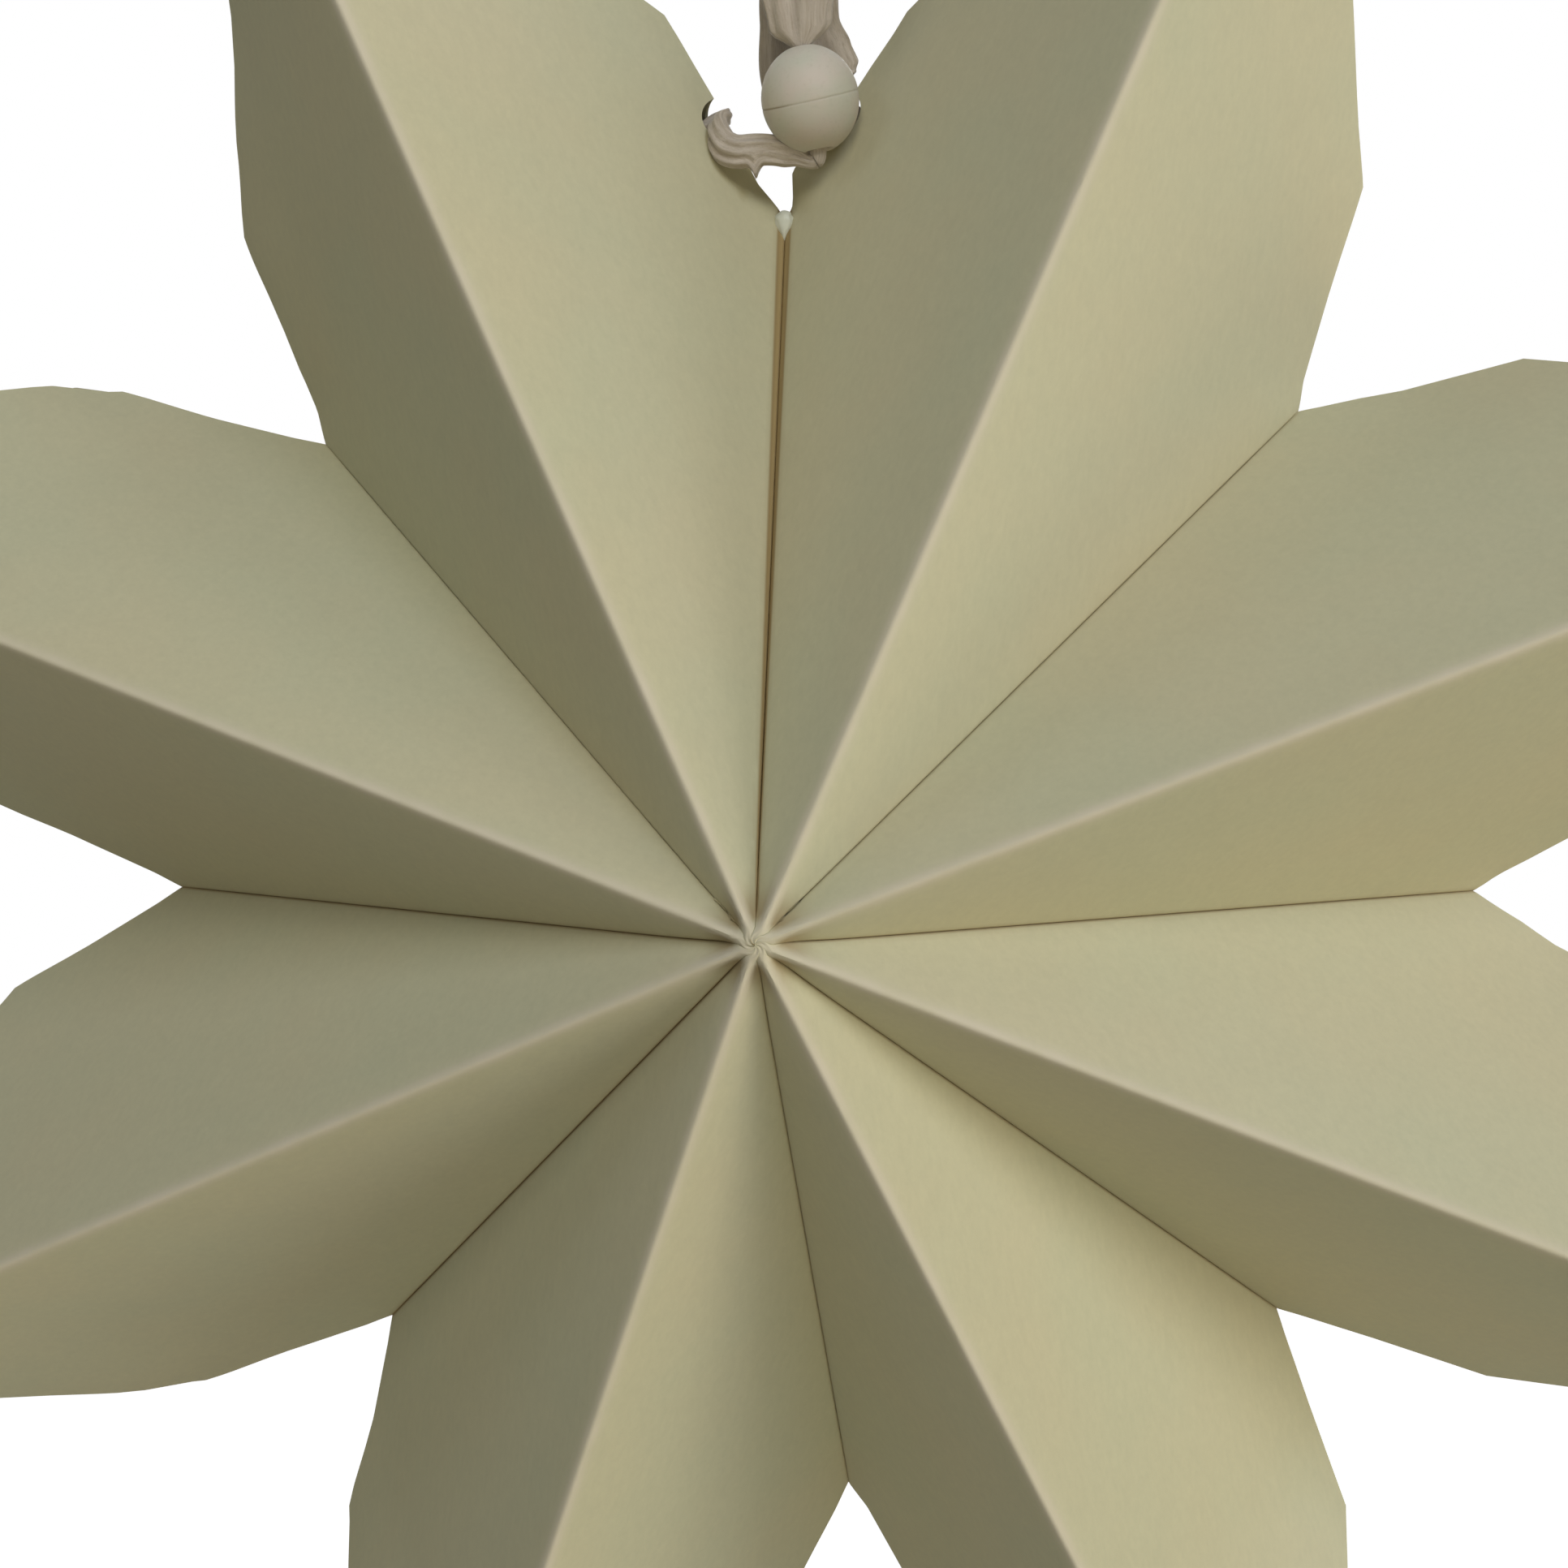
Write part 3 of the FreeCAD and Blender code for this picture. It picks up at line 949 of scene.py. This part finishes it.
def punch(piece, hole, into):
    """Cut a round hole through the bag's paper."""
    tool_mesh = bmesh.new()
    bmesh.ops.create_cone(
        tool_mesh,
        cap_ends=True,
        segments=48,
        radius1=hole_radius,
        radius2=hole_radius,
        depth=9.0,
    )
    turn = Vector((0, 0, 1)).rotation_difference(into).to_matrix().to_4x4()
    bmesh.ops.transform(tool_mesh, matrix=Matrix.Translation(hole) @ turn, verts=tool_mesh.verts)
    tool = to_object(tool_mesh, "punch")
    cutter = piece.modifiers.new("hole", "BOOLEAN")
    cutter.operation = "DIFFERENCE"
    cutter.solver = "EXACT"
    cutter.object = tool
    settle(piece)
    bpy.data.objects.remove(tool)


for number, piece in bags.items():
    settle(piece)
    if number == 1:
        punch(piece, left_hole, into_left)
    if number == 2:
        punch(piece, right_hole, into_right)
    sharpen(piece, 50)
print("faces in each bag:", [len(piece.data.polygons) for piece in bags.values()])

# %% [markdown]
# ## The glue
#
# A small dab of white glue bridges the slit just below the notch. It is a blob that clings
# to both edges, so it is a squeezed ball with a longer, thinner foot.

# %% Shape the dab of glue
glue_mesh = bmesh.new()
bmesh.ops.create_icosphere(glue_mesh, subdivisions=4, radius=1.0)
for vertex in glue_mesh.verts:
    up = vertex.co.z
    width = 0.95 if up > 0 else 0.95 - 0.6 * soft(-up)
    lump = 1 + 0.3 * noise.noise(vertex.co * 1.9)
    tall = 1.1 if up > 0 else 2.2
    vertex.co = Vector((vertex.co.x * width * lump, vertex.co.y * 0.8, up * tall))
glue_place = by_notch(0.02, 0.8, -1.2)
bmesh.ops.translate(glue_mesh, vec=glue_place, verts=glue_mesh.verts)
glue = to_object(glue_mesh, "glue_dab")
print("glue dab at", tuple(round(value, 2) for value in glue_place))

# %% [markdown]
# ## Materials: how the nodes are put together
#
# A material is a small graph. The helpers below add nodes and set their inputs by name, and
# the next cells join them into paper, bead, ribbon and glue. All patterns read Object
# coordinates in metres, or numbers kept on the mesh, so they stay on the surface.

# %% Helpers for node graphs


def new_material(name):
    """A material with an empty graph, its output and a Principled shader."""
    material = bpy.data.materials.new(name)
    material.use_nodes = True
    tree = material.node_tree
    tree.nodes.clear()
    output = tree.nodes.new("ShaderNodeOutputMaterial")
    shader = tree.nodes.new("ShaderNodeBsdfPrincipled")
    tree.links.new(shader.outputs["BSDF"], output.inputs["Surface"])
    return material, tree, shader


def add_node(tree, kind, inputs=None, **settings):
    """Add a node, set its own settings, and set or link its inputs."""
    item = tree.nodes.new(kind)
    for name, value in settings.items():
        setattr(item, name, value)
    for name, value in (inputs or {}).items():
        socket = item.inputs[name]
        if isinstance(value, bpy.types.NodeSocket):
            tree.links.new(value, socket)
        else:
            socket.default_value = value
    return item


def mix_colours(tree, share, first, second, how="MIX"):
    """Mix two colours, each a socket or four numbers."""
    mixer = add_node(tree, "ShaderNodeMix", data_type="RGBA", blend_type=how)
    for place, value in ((0, share), (6, first), (7, second)):
        if isinstance(value, bpy.types.NodeSocket):
            tree.links.new(value, mixer.inputs[place])
        else:
            mixer.inputs[place].default_value = value
    return mixer.outputs[2]


def remap(tree, value, low, high, to_low, to_high):
    """Stretch a range of numbers onto another, and stay inside it."""
    ranger = add_node(
        tree,
        "ShaderNodeMapRange",
        {"Value": value, "From Min": low, "From Max": high, "To Min": to_low, "To Max": to_high},
    )
    return ranger.outputs["Result"]


def calculate(tree, operation, first, second=0.0):
    """The result of one step of arithmetic on two numbers or sockets."""
    return add_node(tree, "ShaderNodeMath", {0: first, 1: second}, operation=operation).outputs[0]


def noise_at(tree, place, scale, detail=2.0, roughness=0.5):
    """A noise pattern, as a number at each place."""
    inputs = {"Vector": place, "Scale": scale, "Detail": detail, "Roughness": roughness}
    return add_node(tree, "ShaderNodeTexNoise", inputs).outputs["Fac"]


def kept_number(tree, name):
    """A number that is kept on the mesh."""
    return add_node(tree, "ShaderNodeAttribute", attribute_name=name).outputs["Fac"]


def add_relief(tree, shader, height, strength, depth):
    """Tilt the surface as a fine relief of that depth does."""
    inputs = {"Height": height, "Strength": strength, "Distance": depth}
    bump = add_node(tree, "ShaderNodeBump", inputs)
    tree.links.new(bump.outputs["Normal"], shader.inputs["Normal"])


def seen_directly(tree):
    """One where the camera looks, also through a reflection or glass, and zero for lighting."""
    path = add_node(tree, "ShaderNodeLightPath").outputs
    seen = calculate(tree, "MAXIMUM", path["Is Camera Ray"], path["Is Glossy Ray"])
    return calculate(tree, "MAXIMUM", seen, path["Is Transmission Ray"])


# %% [markdown]
# ## Kraft paper
#
# The paper is an uncoated greenish cream. Close up it has a fine grain of pressed fibres and
# a slow drift between a greener and a pinker cream. Along the folds the surface is rubbed
# paler, which also paints the folds' highlight. In the clefts at the hub and beside the glue a
# painted brown shade darkens it, and the slit gets an ochre of painted shade and of light
# shining through the thin paper.

# %% Mix the kraft paper
paper_cream = (0.500, 0.462, 0.318, 1)
paper_green = (0.478, 0.462, 0.322, 1)
# Paler rubbed paper, which also serves as the folds' painted highlight.
rubbed_paper_and_highlight = (0.560, 0.505, 0.400, 1)
# Painted brown shade for the clefts.
painted_cleft_shade = (0.240, 0.155, 0.055, 1)
# Painted shade and light shining through the thin paper in the slit.
slit_painted_shade_and_glow = (0.370, 0.275, 0.130, 1)

kraft, tree, shader = new_material("kraft_paper")
place = add_node(tree, "ShaderNodeTexCoord").outputs["Object"]
turned = add_node(
    tree,
    "ShaderNodeMapping",
    {"Vector": place, "Rotation": (0.3, 0.5, 0.9), "Scale": (1.0, 1.0, 0.4)},
)
drift = noise_at(tree, place, 38.0, 3.0, 0.55)
grain = noise_at(tree, place, 1500.0, 4.0, 0.7)
cloud = noise_at(tree, place, 240.0, 3.0, 0.6)
fibre = noise_at(tree, turned.outputs[0], 1300.0)
wear_and_highlight = kept_number(tree, "wear_and_highlight")
cleft_shade = kept_number(tree, "cleft_shade")
slit = kept_number(tree, "slit")

drift_share = remap(tree, drift, 0.35, 0.65, 0.0, 1.0)
tint = mix_colours(tree, drift_share, paper_cream, paper_green)
speckle = calculate(tree, "ADD", grain, fibre)
shade = remap(tree, speckle, 0.7, 1.3, 0.965, 1.035)
shade_slow = remap(tree, cloud, 0.3, 0.7, 0.99, 1.01)
both = calculate(tree, "MULTIPLY", shade, shade_slow)
grey = add_node(tree, "ShaderNodeCombineColor", {"Red": both, "Green": both, "Blue": both})
grained = mix_colours(tree, 1.0, tint, grey.outputs["Color"], "MULTIPLY")
# The folds are rubbed paler: this is partly real wear and partly a painted highlight.
rub_and_highlight = calculate(tree, "MULTIPLY", wear_and_highlight, remap(tree, cloud, 0.3, 0.7, 0.55, 1.0))
rubbed_and_highlit = mix_colours(tree, rub_and_highlight, grained, rubbed_paper_and_highlight)
# Painted brown shade in the clefts.
cleft_shaded = mix_colours(tree, remap(tree, cleft_shade, 0.0, 1.0, 0.0, 0.85), rubbed_and_highlit, painted_cleft_shade)
# In the slit: painted shade and light shining through the thin paper.
coloured = mix_colours(tree, slit, cleft_shaded, slit_painted_shade_and_glow)
rough = remap(tree, speckle, 0.7, 1.3, 0.74, 0.9)
tree.links.new(coloured, shader.inputs["Base Color"])
tree.links.new(rough, shader.inputs["Roughness"])
shader.inputs["Specular IOR Level"].default_value = 0.25
add_relief(tree, shader, speckle, 0.25, 0.00003)
print("kraft paper:", len(tree.nodes), "nodes")

# %% [markdown]
# ## The bead's finish
#
# The bead is moulded plastic with a pearly cream skin: a soft sheen, faint clouds of pink,
# and a darker brown seam, darkest towards the left.

# %% Mix the bead's pearly cream
bead_cream = (0.520, 0.500, 0.420, 1)
bead_pink = (0.560, 0.490, 0.430, 1)
bead_dust = (0.360, 0.330, 0.260, 1)
bead_seam = (0.200, 0.150, 0.080, 1)

pearl, tree, shader = new_material("bead_pearl")
place = add_node(tree, "ShaderNodeTexCoord").outputs["Object"]
clouds = noise_at(tree, place, 260.0)
dust = noise_at(tree, place, 2400.0, 3.0)
darkening = noise_at(tree, place, 300.0, 1.0)
seam = kept_number(tree, "seam")
clouded = mix_colours(tree, remap(tree, clouds, 0.35, 0.65, 0.0, 1.0), bead_cream, bead_pink)
dusty = mix_colours(tree, remap(tree, dust, 0.55, 0.8, 0.0, 0.2), clouded, bead_dust)
across_bead = add_node(tree, "ShaderNodeSeparateXYZ", {"Vector": place}).outputs["X"]
# The seam turns darker brown, most of all towards the left.
seam_left = remap(tree, across_bead, -0.0016, -0.0002, 1.0, 0.3)
seam_darkening = calculate(tree, "MULTIPLY", seam, seam_left)
seam_darker = calculate(tree, "MULTIPLY", seam_darkening, remap(tree, darkening, 0.35, 0.6, 0.6, 1.0))
tree.links.new(mix_colours(tree, seam_darker, dusty, bead_seam), shader.inputs["Base Color"])
tree.links.new(remap(tree, dust, 0.3, 0.7, 0.5, 0.64), shader.inputs["Roughness"])
shader.inputs["Specular IOR Level"].default_value = 0.4
shader.inputs["Subsurface Weight"].default_value = 0.12
shader.inputs["Subsurface Radius"].default_value = (1.0, 0.8, 0.6)
shader.inputs["Subsurface Scale"].default_value = 0.0012
add_relief(tree, shader, dust, 0.15, 0.00003)
print("bead:", len(tree.nodes), "nodes")

# %% [markdown]
# ## The ribbon's satin
#
# The ribbon is a thin mauve-grey satin. Its threads run lengthwise, so the pattern follows
# two numbers kept on the mesh: how far along the strand a point is, and how far round it.

# %% Mix the ribbon's satin
ribbon_mauve = (0.400, 0.335, 0.270, 1)
ribbon_pale = (0.520, 0.450, 0.385, 1)
ribbon_dark = (0.200, 0.155, 0.110, 1)

satin, tree, shader = new_material("ribbon_satin")
place = add_node(tree, "ShaderNodeTexCoord").outputs["Object"]
along = kept_number(tree, "along")
round_it = kept_number(tree, "round")
threads_at = add_node(
    tree,
    "ShaderNodeCombineXYZ",
    {
        "X": calculate(tree, "COSINE", round_it),
        "Y": calculate(tree, "SINE", round_it),
        "Z": calculate(tree, "MULTIPLY", along, 0.012),
    },
)
threads = noise_at(tree, threads_at.outputs[0], 26.0, 3.0, 0.6)
folds = noise_at(tree, threads_at.outputs[0], 5.0)
weave = noise_at(tree, place, 3200.0)
base = mix_colours(tree, remap(tree, folds, 0.35, 0.65, 0.0, 1.0), ribbon_mauve, ribbon_pale)
threaded = mix_colours(tree, remap(tree, threads, 0.5, 0.8, 0.0, 0.5), base, ribbon_dark)
tree.links.new(threaded, shader.inputs["Base Color"])
shader.inputs["Roughness"].default_value = 0.55
shader.inputs["Specular IOR Level"].default_value = 0.4
shader.inputs["Sheen Weight"].default_value = 0.35
shader.inputs["Sheen Roughness"].default_value = 0.4
add_relief(tree, shader, calculate(tree, "ADD", threads, weave), 0.5, 0.00012)
print("ribbon:", len(tree.nodes), "nodes")

# %% [markdown]
# ## Dried glue
#
# White glue dries to a milky, slightly shiny skin.

# %% Mix the dried glue
glue_grey = (0.50, 0.51, 0.43, 1)
glue_white = (0.66, 0.66, 0.58, 1)

milky, tree, shader = new_material("dried_glue")
place = add_node(tree, "ShaderNodeTexCoord").outputs["Object"]
milk = noise_at(tree, place, 900.0)
tree.links.new(mix_colours(tree, milk, glue_grey, glue_white), shader.inputs["Base Color"])
tree.links.new(remap(tree, milk, 0.3, 0.7, 0.35, 0.55), shader.inputs["Roughness"])
add_relief(tree, shader, milk, 0.3, 0.0001)
print("glue:", len(tree.nodes), "nodes")

# %% [markdown]
# ## Join every piece to the frame
#
# Each new piece rides on the star's one body and stands for its solid in the imported model.

# %% Give materials, and say what each piece stands for


def dress(piece, material, slot, *nodes):
    """Give a piece its material, its body and the solids it stands for. The slot is not used."""
    piece.data.materials.clear()
    piece.data.materials.append(material)
    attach(piece, "root")
    if nodes:
        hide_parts(*nodes)


for number, piece in bags.items():
    dress(piece, kraft, "kraft_paper", f"paper_bag_{number}")
dress(bead, pearl, "bead", "bead")
dress(ribbon, satin, "ribbon", "hanging_ribbon")
dress(knot_left, satin, "ribbon", "ribbon_knot_left")
dress(knot_right, satin, "ribbon", "ribbon_knot_right")
dress(glue, milky, "bead")

# %% [markdown]
# ## Floor and light
#
# The star hangs in plain pale surroundings. The strongest soft lamps stand above it in front
# and at its right. Weaker ones, warm low down and cool high up, fill the shaded pages, and
# one lights the back. The floor lies well below, and the camera sees it and the world as
# white.

# %% Lay the floor
floor_height = -1.2
floor_grey = (0.80, 0.80, 0.78, 1)
floor_pale = (0.84, 0.84, 0.82, 1)
floor_mesh = bmesh.new()
bmesh.ops.create_grid(floor_mesh, x_segments=1, y_segments=1, size=3.0)
bmesh.ops.translate(floor_mesh, vec=(0, 0, floor_height), verts=floor_mesh.verts)
floor = to_object(floor_mesh, "floor", 1.0)

pale_floor, tree, shader = new_material("pale_floor")
place = add_node(tree, "ShaderNodeTexCoord").outputs["Object"]
mottle = noise_at(tree, place, 6.0, 3.0)
tree.links.new(mix_colours(tree, mottle, floor_grey, floor_pale), shader.inputs["Base Color"])
shader.inputs["Roughness"].default_value = 0.7
shader.inputs["Emission Color"].default_value = (1, 1, 1, 1)
lift = calculate(tree, "MULTIPLY", seen_directly(tree), 0.95)
tree.links.new(lift, shader.inputs["Emission Strength"])
floor.data.materials.append(pale_floor)

# %% Light the star
light_aim = star_middle * mm
lamp_distance = 1.3


def soft_lamp(name, around_to, height, size, power, colour):
    """A round soft lamp that looks at the star's middle, placed by its angles from the front."""
    lamp_data = bpy.data.lights.new(name, "AREA")
    lamp_data.shape = "DISK"
    lamp_data.size = size
    lamp_data.energy = power
    lamp_data.color = colour
    lamp = bpy.data.objects.new(name, lamp_data)
    bpy.context.scene.collection.objects.link(lamp)
    level = math.cos(math.radians(height))
    aside = math.sin(math.radians(around_to))
    ahead = math.cos(math.radians(around_to))
    away = Vector((aside * level, -ahead * level, math.sin(math.radians(height))))
    lamp.location = light_aim + away * lamp_distance
    lamp.rotation_mode = "QUATERNION"
    lamp.rotation_quaternion = (-away).to_track_quat("-Z", "Y")
    return lamp


soft_lamp("warm_front", 0, 38, 0.5, 4.1, (1.0, 0.97, 0.80))
soft_lamp("cool_front", 32, 38, 0.5, 5.4, (0.83, 0.90, 1.0))
soft_lamp("right", 64, 3, 0.5, 4.3, (1.0, 0.95, 0.88))
soft_lamp("low_right", 80, -15, 0.5, 3.1, (1.0, 0.91, 0.62))
soft_lamp("far_right", 100, 20, 0.5, 1.8, (0.50, 0.60, 1.0))
soft_lamp("low_front", 24, -15, 0.6, 2.6, (1.0, 0.89, 0.55))
soft_lamp("high_right", 90, 75, 0.5, 0.5, (0.9, 0.9, 1.0))
soft_lamp("left", -64, 38, 0.5, 1.2, (0.80, 0.90, 1.0))
soft_lamp("back", 180, 12, 0.6, 6.0, (0.96, 1.0, 0.95))

world = bpy.data.worlds.new("plain_room")
bpy.context.scene.world = world
world.use_nodes = True
tree = world.node_tree
tree.nodes.clear()
output = add_node(tree, "ShaderNodeOutputWorld")
room_colour = (0.97, 1.0, 1.0, 1)
ambient = add_node(tree, "ShaderNodeBackground", {"Color": room_colour, "Strength": 0.05})
white = add_node(tree, "ShaderNodeBackground", {"Color": (1, 1, 1, 1), "Strength": 1.0})
choices = {0: seen_directly(tree), 1: ambient.outputs[0], 2: white.outputs[0]}
choose = add_node(tree, "ShaderNodeMixShader", choices)
tree.links.new(choose.outputs[0], output.inputs["Surface"])
